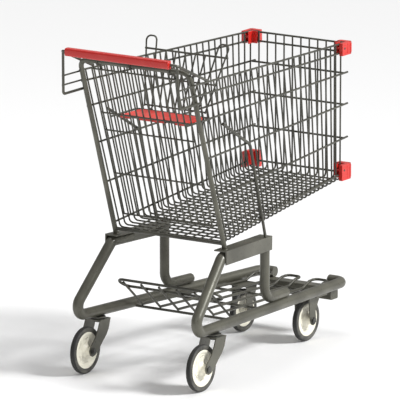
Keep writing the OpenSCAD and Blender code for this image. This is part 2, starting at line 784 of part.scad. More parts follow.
module caster_fork(side) {
    z = rear_wheel_d / 2;
    g = fork_gap / 2;
    color(plated) placed() translate([0, side * rear_track / 2, 0]) difference() {
        union() {
            translate([trail - 26, -g - fork_t, crown_low]) cube([54, fork_gap + 2 * fork_t, fork_t]);
            for (s = [-1, 1])
                translate([0, s * (g + fork_t / 2), 0]) rotate([90, 0, 0])
                    linear_extrude(fork_t, center = true) polygon([
                        [trail - 26, crown_top], [trail + 28, crown_top], [trail + 18, z + 54],
                        [trail + 7, z + 37], [trail - 14, z + 19], [33, z], [14, z - 14], [0, z - 17],
                        [-11, z - 12], [-15, z], [-10, z + 14], [4, z + 26], [16, z + 38], [trail - 36, z + 62]]);
        }
        translate([trail, 0, crown_low - 1]) cylinder(h = fork_t + 2, r = kingpin_d / 2 + pin_fit);
        translate([0, 0, z]) rotate([90, 0, 0]) cylinder(h = 80, d = axle_d + 0.2, center = true);
    }
}

module swivel_plate_left() { swivel_plate(1); }
module swivel_plate_right() { swivel_plate(-1); }
module caster_race_left() { caster_race(1); }
module caster_race_right() { caster_race(-1); }
module caster_fork_left() { caster_fork(1); }
module caster_fork_right() { caster_fork(-1); }

module front_fork(side) {
    z = front_wheel_d / 2;
    g = fork_gap / 2;
    y = tube_y(front_x) - front_inset;
    top = tube_z(front_x) - tube_d / 2 + 1.2;
    color(plated) placed() scale([1, side, 1]) translate([front_x, y, 0]) difference() {
        union() {
            translate([-22, -g - fork_t, top - 4]) cube([56, front_inset + g + fork_t + 6, 4]);
            for (s = [-1, 1])
                translate([0, s * (g + fork_t / 2), 0]) rotate([90, 0, 0])
                    linear_extrude(fork_t, center = true) polygon([
                        [-22, top - 1], [34, top - 1], [31, z + 61], [22, z + 46], [12, z + 28], [15, z],
                        [10, z - 11], [0, z - 15], [-10, z - 11], [-15, z], [-20, z + 24]]);
        }
        translate([0, 0, z]) rotate([90, 0, 0]) cylinder(h = 80, d = axle_d + 0.2, center = true);
    }
}

module front_fork_left() { front_fork(1); }
module front_fork_right() { front_fork(-1); }

lower_tube_left();
lower_tube_right();
front_cross_member();
side_rail_left();
side_rail_right();
front_post_left();
front_post_right();
rear_frame();
frame_crossbar();
side_wires_left();
side_wires_right();
side_rows_left();
side_rows_right();
nose_rows();
nose_uprights();
floor_panel();
basket_stay_left();
basket_stay_right();
bumper_top_left();
bumper_top_right();
bumper_bottom_left();
bumper_bottom_right();
handle_bracket_left();
handle_bracket_right();
handle_rod();
handle_grip();
tray_floor();
tray_back();
tray_cross_rods();
gate_panel();
gate_rings();
seat_arms();
seat_back();
seat_back_eyes();
seat_flap();
front_fork_left();
front_fork_right();
front_axle_left();
front_axle_right();
swivel_plate_left();
swivel_plate_right();
caster_race_left();
caster_race_right();
caster_fork_left();
caster_fork_right();
rear_axle_left();
rear_axle_right();
rear_hub_left();
rear_tyre_left();
rear_hub_right();
rear_tyre_right();
front_hub_left();
front_tyre_left();
front_hub_right();
front_tyre_right();
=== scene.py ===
# Wire shopping trolley: finishes, moulded pieces, tyres, fittings, studio.
import json
import math

import bmesh
import bpy
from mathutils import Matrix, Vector


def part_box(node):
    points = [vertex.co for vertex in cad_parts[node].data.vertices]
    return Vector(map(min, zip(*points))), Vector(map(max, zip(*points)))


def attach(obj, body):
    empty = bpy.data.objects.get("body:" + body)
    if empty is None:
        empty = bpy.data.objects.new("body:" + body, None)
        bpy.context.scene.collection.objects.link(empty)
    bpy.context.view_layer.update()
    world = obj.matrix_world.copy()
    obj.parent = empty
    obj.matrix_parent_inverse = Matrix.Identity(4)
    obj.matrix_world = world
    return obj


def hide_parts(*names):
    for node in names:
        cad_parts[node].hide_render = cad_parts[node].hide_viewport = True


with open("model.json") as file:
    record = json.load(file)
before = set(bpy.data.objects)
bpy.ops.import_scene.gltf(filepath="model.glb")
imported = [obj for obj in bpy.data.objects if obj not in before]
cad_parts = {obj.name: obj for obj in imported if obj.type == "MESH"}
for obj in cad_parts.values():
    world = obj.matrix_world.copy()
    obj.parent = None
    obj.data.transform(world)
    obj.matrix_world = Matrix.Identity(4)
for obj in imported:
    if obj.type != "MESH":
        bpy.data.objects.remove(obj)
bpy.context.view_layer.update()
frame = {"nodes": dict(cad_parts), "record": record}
MM = 0.001
POST_RADIUS = 14.5 * MM


# ---- Camera ----

def make_camera():
    data = bpy.data.cameras.new("camera")
    cam = bpy.data.objects.new("camera", data)
    bpy.context.scene.collection.objects.link(cam)
    data.sensor_width = 36
    data.lens = 720
    data.clip_start = 1
    data.clip_end = 100
    az, el = math.radians(33.57), math.radians(12.43)
    ahead = Vector((math.cos(el) * math.cos(az), math.cos(el) * math.sin(az), -math.sin(el)))
    cam.location = Vector((-19.2314, -12.7187, 5.5605))
    cam.rotation_mode = "QUATERNION"
    cam.rotation_quaternion = ahead.to_track_quat("-Z", "Y")
    bpy.context.scene.camera = cam


make_camera()


# ---- Shared finishes, as node groups ----

def new_group(name, inputs, outputs):
    group = bpy.data.node_groups.new(name, "ShaderNodeTree")
    for label, kind, value in inputs:
        s = group.interface.new_socket(label, in_out="INPUT", socket_type=kind)
        s.default_value = value
    for label, kind in outputs:
        group.interface.new_socket(label, in_out="OUTPUT", socket_type=kind)
    return group, group.nodes.new("NodeGroupInput"), group.nodes.new("NodeGroupOutput")


def node(tree, kind, **values):
    n = tree.nodes.new("ShaderNode" + kind)
    for key, value in values.items():
        setattr(n, key, value)
    return n


def ramp(tree, source, low, high):
    r = node(tree, "MapRange", clamp=True)
    tree.links.new(source, r.inputs["Value"])
    r.inputs["From Min"].default_value = low
    r.inputs["From Max"].default_value = high
    return r.outputs["Result"]


def blend_colour(tree, factor, a, b):
    m = node(tree, "Mix", data_type="RGBA")
    tree.links.new(factor, m.inputs["Factor"])
    tree.links.new(a, m.inputs["A"])
    tree.links.new(b, m.inputs["B"])
    return m.outputs["Result"]


def noise(tree, where, scale, detail=3.0, stretch=None):
    n = node(tree, "TexNoise")
    n.inputs["Detail"].default_value = detail
    if stretch:
        m = node(tree, "Mapping")
        m.inputs["Scale"].default_value = stretch
        tree.links.new(where, m.inputs["Vector"])
        where = m.outputs["Vector"]
    tree.links.new(where, n.inputs["Vector"])
    if hasattr(scale, "links"):
        tree.links.new(scale, n.inputs["Scale"])
    else:
        n.inputs["Scale"].default_value = scale
    return n.outputs["Fac"]


def times(tree, a, b, kind="MULTIPLY"):
    m = node(tree, "Math", operation=kind)
    for i, v in enumerate((a, b)):
        if hasattr(v, "links"):
            tree.links.new(v, m.inputs[i])
        else:
            m.inputs[i].default_value = v
    return m.outputs[0]


def tarnish_group():
    """Cloudy tarnish on plated steel: darker clouds, small dull spots and an orange-peel height."""
    g, i, o = new_group("plating_tarnish", [
        ("Clean", "NodeSocketColor", (0.4, 0.4, 0.4, 1)),
        ("Tarnished", "NodeSocketColor", (0.2, 0.2, 0.2, 1)),
        ("Spots", "NodeSocketColor", (0.1, 0.09, 0.07, 1)), ("Roughness", "NodeSocketFloat", 0.4)],
        [("Color", "NodeSocketColor"), ("Roughness", "NodeSocketFloat"), ("Height", "NodeSocketFloat")])
    at = node(g, "TexCoord").outputs["Object"]
    cloud = ramp(g, noise(g, at, 9.0, 5.0), 0.35, 0.68)
    fine = ramp(g, noise(g, at, 140.0, 4.0), 0.62, 0.74)
    colour = blend_colour(g, cloud, i.outputs["Clean"], i.outputs["Tarnished"])
    colour = blend_colour(g, times(g, fine, 0.7), colour, i.outputs["Spots"])
    g.links.new(colour, o.inputs["Color"])
    rough = times(g, times(g, cloud, 0.16), times(g, fine, 0.2), "ADD")
    g.links.new(times(g, rough, i.outputs["Roughness"], "ADD"), o.inputs["Roughness"])
    g.links.new(noise(g, at, 420.0, 2.0), o.inputs["Height"])
    return g


def dust_group():
    """Shop-floor dust that settles in patches on faces that look up."""
    g, i, o = new_group("settled_dust", [
        ("Color", "NodeSocketColor", (0.5, 0.5, 0.5, 1)), ("Dust", "NodeSocketColor", (0.42, 0.40, 0.34, 1)),
        ("Amount", "NodeSocketFloat", 0.3)],
        [("Color", "NodeSocketColor"), ("Mask", "NodeSocketFloat")])
    at = node(g, "TexCoord").outputs["Object"]
    up = node(g, "SeparateXYZ")
    g.links.new(node(g, "NewGeometry").outputs["Normal"], up.inputs[0])
    mask = times(g, ramp(g, up.outputs["Z"], 0.35, 1.0), ramp(g, noise(g, at, 26.0, 6.0), 0.34, 0.7))
    mask = times(g, mask, i.outputs["Amount"])
    g.links.new(blend_colour(g, mask, i.outputs["Color"], i.outputs["Dust"]), o.inputs["Color"])
    g.links.new(mask, o.inputs["Mask"])
    return g


def scuff_group():
    """Long fine scratches and pale rubbed patches on moulded plastic."""
    g, i, o = new_group("plastic_scuffs", [
        ("Color", "NodeSocketColor", (0.8, 0.1, 0.1, 1)), ("Rubbed", "NodeSocketColor", (0.9, 0.5, 0.4, 1)),
        ("Amount", "NodeSocketFloat", 0.4), ("Roughness", "NodeSocketFloat", 0.35)],
        [("Color", "NodeSocketColor"), ("Roughness", "NodeSocketFloat"), ("Height", "NodeSocketFloat")])
    at = node(g, "TexCoord").outputs["Object"]
    line = ramp(g, noise(g, at, 60.0, 4.0, (1.0, 0.35, 7.0)), 0.61, 0.69)
    patch = ramp(g, noise(g, at, 22.0, 3.0), 0.5, 0.72)
    mask = times(g, times(g, times(g, line, patch), 0.8), times(g, patch, 0.22), "ADD")
    mask = times(g, mask, i.outputs["Amount"])
    g.links.new(blend_colour(g, mask, i.outputs["Color"], i.outputs["Rubbed"]), o.inputs["Color"])
    g.links.new(times(g, times(g, mask, 0.5), i.outputs["Roughness"], "ADD"), o.inputs["Roughness"])
    grain = noise(g, at, 900.0, 2.0)
    g.links.new(times(g, grain, times(g, line, -0.5), "ADD"), o.inputs["Height"])
    return g


TARNISH = tarnish_group()
DUST = dust_group()
SCUFFS = scuff_group()


def place(tree, group, **values):
    n = tree.nodes.new("ShaderNodeGroup")
    n.node_tree = group
    for key, value in values.items():
        n.inputs[key.replace("_", " ")].default_value = value
    return n


def start_material(name, metallic, coat, strength, distance):
    """A material with its shader and a bump waiting for a height."""
    m = bpy.data.materials.new(name)
    m.use_nodes = True
    tree = m.node_tree
    shader = tree.nodes["Principled BSDF"]
    shader.inputs["Metallic"].default_value = metallic
    shader.inputs["Coat Weight"].default_value = coat
    shader.inputs["Coat Roughness"].default_value = 0.2
    bump = node(tree, "Bump")
    bump.inputs["Strength"].default_value = strength
    bump.inputs["Distance"].default_value = distance
    tree.links.new(bump.outputs["Normal"], shader.inputs["Normal"])
    return m, tree, shader, bump


def plated(name, clean, tarnished, spots, metallic, roughness, dust, peel=0.2):
    m, tree, shader, bump = start_material(name, metallic, 0.25, peel, 0.0004)
    t = place(tree, TARNISH, Clean=clean, Tarnished=tarnished, Spots=spots, Roughness=roughness)
    d = place(tree, DUST, Dust=(0.36, 0.34, 0.29, 1), Amount=dust)
    tree.links.new(t.outputs["Color"], d.inputs["Color"])
    tree.links.new(d.outputs["Color"], shader.inputs["Base Color"])
    tree.links.new(times(tree, t.outputs["Roughness"], times(tree, d.outputs["Mask"], 0.4), "ADD"),
                   shader.inputs["Roughness"])
    tree.links.new(t.outputs["Height"], bump.inputs["Height"])
    return m


def moulded(name, colour, rubbed, amount, roughness, coat, dust):
    m, tree, shader, bump = start_material(name, 0, coat, 0.18, 0.0003)
    s = place(tree, SCUFFS, Color=colour, Rubbed=rubbed, Amount=amount, Roughness=roughness)
    d = place(tree, DUST, Dust=(0.55, 0.5, 0.44, 1), Amount=dust)
    tree.links.new(s.outputs["Color"], d.inputs["Color"])
    tree.links.new(d.outputs["Color"], shader.inputs["Base Color"])
    tree.links.new(s.outputs["Roughness"], shader.inputs["Roughness"])
    tree.links.new(s.outputs["Height"], bump.inputs["Height"])
    return m


FINISH = {
    "frame_steel": plated("lacquered_tube", (0.12, 0.117, 0.09, 1), (0.07, 0.068, 0.052, 1),
                          (0.05, 0.04, 0.028, 1), 0.3, 0.36, 0.12),
    "wire_steel": plated("lacquered_wire", (0.085, 0.083, 0.065, 1), (0.042, 0.041, 0.032, 1),
                         (0.035, 0.028, 0.02, 1), 0.3, 0.34, 0.06),
    "zinc_steel": plated("dull_zinc", (0.09, 0.09, 0.08, 1), (0.045, 0.045, 0.04, 1),
                         (0.05, 0.038, 0.026, 1), 0.6, 0.34, 0.1),
    "red_plastic": moulded("red_moulding", (0.62, 0.016, 0.01, 1), (0.8, 0.12, 0.085, 1),
                           0.4, 0.36, 0.3, 0.06),
    "hub_cream": moulded("cream_hub", (0.86, 0.83, 0.70, 1), (0.5, 0.46, 0.36, 1), 0.45, 0.42, 0.1, 0.3),
    "tyre_black": moulded("worn_rubber", (0.022, 0.022, 0.021, 1), (0.12, 0.115, 0.10, 1),
                          0.9, 0.66, 0.0, 0.3),
}


def rubber_tread():
    """Worn tyre rubber, scuffed all over and paler in patches on each side wall."""
    m, tree, shader, bump = start_material("tyre_rubber", 0, 0, 0.35, 0.0006)
    at = node(tree, "TexCoord").outputs["Object"]
    s = place(tree, SCUFFS, Color=(0.024, 0.024, 0.023, 1), Rubbed=(0.15, 0.145, 0.125, 1),
              Amount=0.8, Roughness=0.62)
    wall = node(tree, "SeparateXYZ")
    tree.links.new(node(tree, "NewGeometry").outputs["Normal"], wall.inputs[0])
    sideways = ramp(tree, times(tree, wall.outputs["Y"], 0, "ABSOLUTE"), 0.75, 0.98)
    worn = times(tree, sideways, ramp(tree, noise(tree, at, 34.0, 4.0), 0.3, 0.62))
    grey = node(tree, "RGB")
    grey.outputs[0].default_value = (0.17, 0.165, 0.14, 1)
    tree.links.new(blend_colour(tree, times(tree, worn, 0.55), s.outputs["Color"], grey.outputs[0]),
                   shader.inputs["Base Color"])
    tree.links.new(s.outputs["Roughness"], shader.inputs["Roughness"])
    tree.links.new(s.outputs["Height"], bump.inputs["Height"])
    return m


TYRE = rubber_tread()
RED_GRIP = moulded("red_sleeve", (0.55, 0.012, 0.008, 1), (0.75, 0.11, 0.08, 1), 0.5, 0.3, 0.35, 0.05)
RED_FLAP = moulded("red_seat", (0.66, 0.03, 0.02, 1), (0.85, 0.22, 0.16, 1), 0.5, 0.38, 0.25, 0.12)


SLOT = {s["node"]: s["material_slot"] for s in frame["record"]["subparts"]}


def finish_with(obj, material):
    obj.data.materials.clear()
    obj.data.materials.append(material)


for name, slot_name in SLOT.items():
    ob = frame["nodes"][name]
    if not ob.material_slots:
        ob.data.materials.append(FINISH[slot_name])
    for s in ob.material_slots:
        s.material = FINISH[slot_name]


# ---- Studio ----

def make_studio():
    world = bpy.data.worlds.new("studio")
    bpy.context.scene.world = world
    world.use_nodes = True
    back = world.node_tree.nodes["Background"]
    back.inputs["Color"].default_value = (1, 1, 1, 1)
    back.inputs["Strength"].default_value = 0.32
    bpy.ops.mesh.primitive_plane_add(size=60, location=(0, 0, 0))
    floor = bpy.context.object
    floor.name = "floor"
    m = bpy.data.materials.new("pale_floor")
    m.use_nodes = True
    shader = m.node_tree.nodes["Principled BSDF"]
    shader.inputs["Base Color"].default_value = (0.86, 0.86, 0.86, 1)
    shader.inputs["Roughness"].default_value = 0.9
    finish_with(floor, m)
    bpy.context.scene.view_settings.view_transform = "Standard"
    for label, kind, place_at, size, power in (
            ("key_light", "SUN", (1.5, -3.6, 3.6), math.radians(16), 3.6),
            ("fill_light", "AREA", (-3.2, -1.2, 1.8), 2.4, 14),
            ("top_light", "AREA", (0.6, 0.6, 4.4), 2.6, 60)):
        data = bpy.data.lights.new(label, kind)
        if kind == "SUN":
            data.angle = size
        else:
            data.size = size
        data.energy = power
        light = bpy.data.objects.new(label, data)
        light.location = place_at
        light.rotation_mode = "QUATERNION"
        light.rotation_quaternion = (Vector((0, 0, 0.5)) - Vector(place_at)).to_track_quat("-Z", "Y")
        bpy.context.scene.collection.objects.link(light)


make_studio()

# ---- Modelling helpers ----

def begin():
    bpy.ops.object.select_all(action="DESELECT")


def edit(obj):
    begin()
    obj.select_set(True)
    bpy.context.view_layer.objects.active = obj
    bpy.ops.object.mode_set(mode="EDIT")


def pick(obj, test, kind="FACE"):
    """In edit mode, selects the faces, edges or points that pass the test and nothing else."""
    bpy.ops.mesh.select_mode(type=kind)
    bpy.ops.mesh.select_all(action="DESELECT")
    bm = bmesh.from_edit_mesh(obj.data)
    if kind == "FACE":
        for f in bm.faces:
            f.select_set(test(f.calc_center_median(), f.normal))
    elif kind == "EDGE":
        for e in bm.edges:
            a, b = (v.co for v in e.verts)
            e.select_set(test((a + b) / 2, (b - a).normalized()))
    else:
        for v in bm.verts:
            v.select_set(test(v.co, v.normal))
    bm.select_flush_mode()
    bmesh.update_edit_mesh(obj.data)


def close_up(obj, name, angle=35):
    """Leaves edit mode, turns faces outward, puts the origin back and smooths the curved faces."""
    bpy.ops.mesh.select_all(action="SELECT")
    bpy.ops.mesh.remove_doubles(threshold=0.00001)
    bpy.ops.mesh.normals_make_consistent(inside=False)
    bpy.ops.object.mode_set(mode="OBJECT")
    bpy.ops.object.transform_apply(location=True, rotation=True, scale=True)
    bpy.ops.object.shade_smooth_by_angle(angle=math.radians(angle))
    obj.name = name
    return obj


def soften(obj, width, segments=2, angle=35):
    begin()
    obj.select_set(True)
    bpy.context.view_layer.objects.active = obj
    m = obj.modifiers.new("soft_edge", "BEVEL")
    m.width = width
    m.segments = segments
    m.limit_method = "ANGLE"
    m.angle_limit = math.radians(angle)
    m.harden_normals = False
    bpy.ops.object.modifier_apply(modifier=m.name)
    bpy.ops.object.shade_smooth_by_angle(angle=math.radians(45))


def block(low, high):
    """A box between two corners, in edit mode with nothing selected."""
    begin()
    size = [b - a for a, b in zip(low, high)]
    bpy.ops.mesh.primitive_cube_add(size=1, location=[(a + b) / 2 for a, b in zip(low, high)], scale=size)
    bpy.ops.object.transform_apply(location=True, rotation=True, scale=True)
    edit(bpy.context.object)
    return bpy.context.object


def turned(name, centre, axis, profile, steps=64, angle=35):
    """A turned piece: a profile of (along the axis, out from it) drawn point by point and spun full round."""
    begin()
    axis = Vector(axis).normalized()
    out = Vector((0, 0, 1)) if abs(axis.z) < 0.9 else Vector((1, 0, 0))
    spots = [Vector(centre) + axis * a + out * r for a, r in profile]
    bpy.ops.mesh.primitive_plane_add(size=0.001, location=spots[0])
    obj = bpy.context.object
    edit(obj)
    bpy.ops.mesh.select_mode(type="VERT")
    bpy.ops.mesh.select_all(action="SELECT")
    bpy.ops.mesh.merge(type="CENTER")
    for a, b in zip(spots, spots[1:]):
        bpy.ops.mesh.extrude_region_move(TRANSFORM_OT_translate={"value": b - a})
    bpy.ops.mesh.select_all(action="SELECT")
    bpy.ops.mesh.spin(steps=steps, angle=2 * math.pi, center=centre, axis=axis)
    return close_up(obj, name, angle)


def joined(name, parts):
    begin()
    for p in parts:
        p.select_set(True)
    bpy.context.view_layer.objects.active = parts[0]
    bpy.ops.object.join()
    parts[0].name = name
    return parts[0]


def copy_of(obj, name, flip_y=False, shift=(0, 0, 0)):
    """A copy with its own mesh, mirrored across the middle plane or shifted."""
    twin = obj.copy()
    twin.data = obj.data.copy()
    twin.name = name
    bpy.context.scene.collection.objects.link(twin)
    twin.location = shift
    if flip_y:
        twin.scale = (1, -1, 1)
    begin()
    twin.select_set(True)
    bpy.context.view_layer.objects.active = twin
    bpy.ops.object.transform_apply(location=True, rotation=True, scale=True)
    if flip_y:
        edit(twin)
        bpy.ops.mesh.select_all(action="SELECT")
        bpy.ops.mesh.normals_make_consistent(inside=False)
        bpy.ops.object.mode_set(mode="OBJECT")
    return twin


def fit_out(obj, body, slot_name, *stands_for, material=None):
    finish_with(obj, material or FINISH[slot_name])
    if stands_for:
        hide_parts(*stands_for)
    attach(obj, body)


# ---- Wheels ----

def wheel_place(name):
    low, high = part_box(name)
    return (low + high) / 2, (high.z - low.z) / 2, (high.y - low.y) / 2


def make_tyre(name, body, node_name):
    centre, r, w = wheel_place(node_name)
    t = 15 * MM
    half = [
        (0, r - t), (0.62 * w, r - t), (0.70 * w, r - t - 0.9 * MM), (0.80 * w, r - t + 0.2 * MM),
        (0.86 * w, r - t + 2 * MM), (0.90 * w, r - 0.78 * t), (0.99 * w, r - 0.62 * t),
        (1.0 * w, r - 0.5 * t), (0.965 * w, r - 0.45 * t), (0.955 * w, r - 0.34 * t),
        (0.90 * w, r - 0.2 * t), (0.78 * w, r - 0.09 * t), (0.60 * w, r - 0.03 * t),
        (0.40 * w, r - 0.004 * t), (0.33 * w, r - 0.006 * t), (0.29 * w, r - 0.09 * t),
        (0.22 * w, r - 0.09 * t), (0.18 * w, r), (0, r)]
    profile = half + [(-a, b) for a, b in reversed(half[1:-1])] + [half[0]]
    tyre = turned(name, centre, (0, 1, 0), profile, 96, 32)
    fit_out(tyre, body, "tyre_black", node_name, material=TYRE)


def make_hub(name, body, node_name):
    """A dished disc with a rolled rim, a ring of shallow lightening pockets and a raised centre."""
    centre, r, w = wheel_place(node_name)
    bore = 6.1 * MM
    half = [
        (w, bore), (w, bore + 3.2 * MM), (w - 0.8 * MM, bore + 4.4 * MM), (0.62 * w, bore + 6.2 * MM),
        (0.5 * w, bore + 7.4 * MM), (0.44 * w, bore + 10 * MM), (0.28 * w, bore + 13 * MM),
        (0.2 * w, bore + 15 * MM), (0.15 * w, r - 14 * MM), (0.19 * w, r - 10.5 * MM), (0.3 * w, r - 8 * MM),
        (0.335 * w, r - 6 * MM), (0.345 * w, r - 1.6 * MM), (0.32 * w, r - 0.4 * MM), (0.29 * w, r)]
    profile = half + [(-a, b) for a, b in reversed(half)] + [half[0]]
    hub = turned(name, centre, (0, 1, 0), profile, 96, 32)
    edit(hub)
    lo, hi = r - 14.2 * MM, bore + 14.6 * MM

    def web(mid, normal):
        d = math.hypot(mid.x - centre.x, mid.z - centre.z)
        turn = math.degrees(math.atan2(mid.z - centre.z, mid.x - centre.x)) % 60
        return hi < d < lo and abs(normal.y) > 0.8 and 11 < turn < 49
    pick(hub, web)
    bpy.ops.mesh.inset(thickness=1.6 * MM, depth=0)
    bpy.ops.mesh.inset(thickness=0.9 * MM, depth=-0.8 * MM)
    close_up(hub, name, 32)
    fit_out(hub, body, "hub_cream", node_name)


def make_axle(name, body, node_name, tyre_node, outside):
    """A hexagon bolt with washers, thread guards and a lock nut, its head on the outside."""
    base = wheel_place(tyre_node)[0]
    fork = 27 * MM
    out = Vector((0, outside, 0))
    parts = []
    parts.append(turned("shank", base, out, [
        (-fork - 8.6 * MM, 0), (-fork - 8.6 * MM, 5.2 * MM), (-fork - 8 * MM, 5.9 * MM),
        (fork + 1 * MM, 5.9 * MM),
        (fork + 1 * MM, 0)], 32))
    for s in (-1, 1):
        parts.append(turned("washer", base + out * s * fork, out * s, [
            (0, 6 * MM), (0, 10.2 * MM), (0.4 * MM, 10.6 * MM), (1.0 * MM, 10.6 * MM), (1.3 * MM, 10.2 * MM),
            (1.3 * MM, 6 * MM)], 40))
        parts.append(turned("collar", base + out * s * 21.9 * MM, out * s, [
            (0, 6.0 * MM), (0, 8.6 * MM), (2.0 * MM, 8.9 * MM), (2.0 * MM, 6.0 * MM), (0, 6.0 * MM)], 40))
    for s, depth in ((1, 4.5), (-1, 5.4)):
        begin()
        bpy.ops.mesh.primitive_cylinder_add(vertices=6, radius=9.9 * MM, depth=(depth - 1.3) * MM,
                                            location=base + out * s * (fork + (depth + 1.3) / 2 * MM),
                                            rotation=(math.pi / 2, 0, 0))
        nut = bpy.context.object
        edit(nut)
        face_y = base.y + outside * s * (fork + depth * MM)
        pick(nut, lambda mid, normal: abs(mid.y - face_y) < 0.2 * MM or abs(normal.y) > 0.9)
        close_up(nut, "hexagon", 25)
        edit(nut)
        pick(nut, lambda mid, normal: abs(mid.y - face_y) < 0.2 * MM and abs(normal.y) > 0.9)
        bpy.ops.mesh.inset(thickness=1.3 * MM, depth=0.5 * MM)
        bpy.ops.mesh.inset(thickness=1.2 * MM, depth=-0.5 * MM if s > 0 else 0.4 * MM)
        close_up(nut, "hexagon", 25)
        parts.append(nut)
    bolt = joined(name, parts)
    fit_out(bolt, body, "zinc_steel", node_name)


for end in ("rear", "front"):
    for hand, outside in (("left", 1), ("right", -1)):
        wheel = f"{end}_{hand}_wheel"
        make_tyre(f"tyre_{end}_{hand}", wheel, f"{end}_tyre_{hand}")
        make_hub(f"hub_{end}_{hand}", wheel, f"{end}_hub_{hand}")
        carrier = "chassis" if end == "front" else f"rear_{hand}_caster"
        make_axle(f"axle_bolt_{end}_{hand}", carrier, f"{end}_axle_{hand}", f"{end}_tyre_{hand}", outside)


# ---- Corner bumpers ----

def make_bumper(name, node_name, lip):
    """A corner moulding: a rounded L outside the wires with a sunk panel on each outer face, a thin L
    inside them that starts lip above the bottom, two bosses between them, and two fixing screws."""
    low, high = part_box(node_name)
    t, nose_t = 11.6 * MM, 17.7 * MM
    x1 = high.x - nose_t
    side_y = high.y - t - 0.3 * MM
    bumper = block((x1, low.y, low.z), (high.x, high.y - 0.3 * MM, high.z))
    bpy.ops.mesh.select_all(action="SELECT")
    bpy.ops.mesh.bisect(plane_co=(x1, side_y, 0), plane_no=(0, 1, 0))
    pick(bumper, lambda mid, normal: normal.x < -0.9 and mid.y > side_y)
    bpy.ops.mesh.extrude_region_move(TRANSFORM_OT_translate={"value": (low.x - x1, 0, 0)})
    pick(bumper, lambda mid, way: abs(way.z) > 0.9 and mid.x > high.x - 1 * MM, "EDGE")
    bpy.ops.mesh.bevel(offset=7 * MM, segments=5, affect="EDGES")
    close_up(bumper, name)
    edit(bumper)
    pick(bumper, lambda mid, normal: (normal.y > 0.9 and mid.y > side_y
                                      or normal.x > 0.97 and mid.x > high.x - 0.5 * MM))
    bpy.ops.mesh.inset(thickness=5.2 * MM, depth=0, use_individual=True)
    bpy.ops.mesh.inset(thickness=1.1 * MM, depth=-1.0 * MM, use_individual=True)
    close_up(bumper, name)
    soften(bumper, 1.8 * MM, 3, 40)
    xi, yi, plate = x1 - 11 * MM, high.y - 23.4 * MM, 2.9 * MM
    base = low.z + lip
    inner = block((xi - plate, low.y, base), (xi, yi, high.z))
    pick(inner, lambda mid, normal: normal.x < -0.9)
    bpy.ops.mesh.bisect(plane_co=(0, yi - plate, 0), plane_no=(0, 1, 0))
    pick(inner, lambda mid, normal: normal.x < -0.9 and mid.y > yi - plate)
    bpy.ops.mesh.extrude_region_move(TRANSFORM_OT_translate={"value": (low.x - xi + plate, 0, 0)})
    close_up(inner, "inner")
    soften(inner, 0.9 * MM, 2)
    z = (base + high.z) / 2 + 2 * MM
    reach = side_y - yi + 2.2 * MM
    bosses = [turned("boss", (low.x + 7 * MM, yi - 1 * MM, z), (0, 1, 0), [
        (0, 0), (0, 3.45 * MM), (reach, 3.45 * MM), (reach, 0)], 24),
        turned("boss", (xi - 1 * MM, low.y + 9 * MM, z), (1, 0, 0), [
            (0, 0), (0, 3.45 * MM), (13 * MM, 3.45 * MM), (13 * MM, 0)], 24)]
    screws = []
    for where, way in (((low.x + 14 * MM, side_y + t - 1.6 * MM, z), (0, 1, 0)),
                       ((high.x - 1.6 * MM, low.y + 13 * MM, z), (1, 0, 0))):
        screws.append(turned("screw", where, way, [
            (0, 0), (0, 3.7 * MM), (0.8 * MM, 3.5 * MM), (1.35 * MM, 2.6 * MM), (1.5 * MM, 1.5 * MM),
            (1.0 * MM, 1.3 * MM), (0.95 * MM, 0)], 24))
    return joined(name, [bumper, inner] + bosses), joined(name + "_screws", screws)


for level in ("top", "bottom"):
    bumper, screws = make_bumper(f"corner_bumper_{level}_left", f"bumper_{level}_left",
                                 9 * MM if level == "bottom" else 0)
    twins = (copy_of(bumper, f"corner_bumper_{level}_right", True),
             copy_of(screws, f"corner_bumper_{level}_right_screws", True))
    for piece, hand in ((bumper, "left"), (twins[0], "right")):
        fit_out(piece, "chassis", "red_plastic", f"bumper_{level}_{hand}")
    for piece in (screws, twins[1]):
        fit_out(piece, "chassis", "zinc_steel")


# ---- Handle grip ----

def make_grip():
    low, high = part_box("handle_grip")
    grip = block(low, high)
    pick(grip, lambda mid, way: abs(way.y) > 0.9 and mid.x < low.x + 1 * MM, "EDGE")
    bpy.ops.mesh.bevel(offset=6 * MM, segments=6, affect="EDGES")
    pick(grip, lambda mid, normal: normal.x > 0.9)
    bpy.ops.mesh.inset(thickness=2.6 * MM, depth=0)
    bpy.ops.mesh.extrude_region_move(TRANSFORM_OT_translate={"value": (-14.6 * MM, 0, 0)})
    close_up(grip, "handle_sleeve")
    edit(grip)
    bpy.ops.mesh.select_all(action="SELECT")
    for y in range(-150, 151, 60):
        bpy.ops.mesh.select_all(action="SELECT")
        bpy.ops.mesh.bisect(plane_co=(0, y * MM, 0), plane_no=(0, 1, 0))
    close_up(grip, "handle_sleeve")
    soften(grip, 0.9 * MM, 2, 40)
    ribs = []
    z = (low.z + high.z) / 2
    for y in range(-150, 151, 60):
        for up in (-1, 1):
            base = z + 4.1 * MM if up > 0 else low.z + 2.4 * MM
            top = high.z - 2.4 * MM if up > 0 else z - 4.1 * MM
            rib = block((low.x + 3 * MM, y * MM - 1.2 * MM, base), (high.x - 3 * MM, y * MM + 1.2 * MM, top))
            close_up(rib, "rib")
            soften(rib, 0.5 * MM, 2)
            ribs.append(rib)
    fit_out(grip, "chassis", "red_plastic", "handle_grip", material=RED_GRIP)
    inner = joined("handle_sleeve_ribs", ribs)
    fit_out(inner, "chassis", "red_plastic", material=RED_GRIP)


make_grip()


# ---- Child seat flap ----

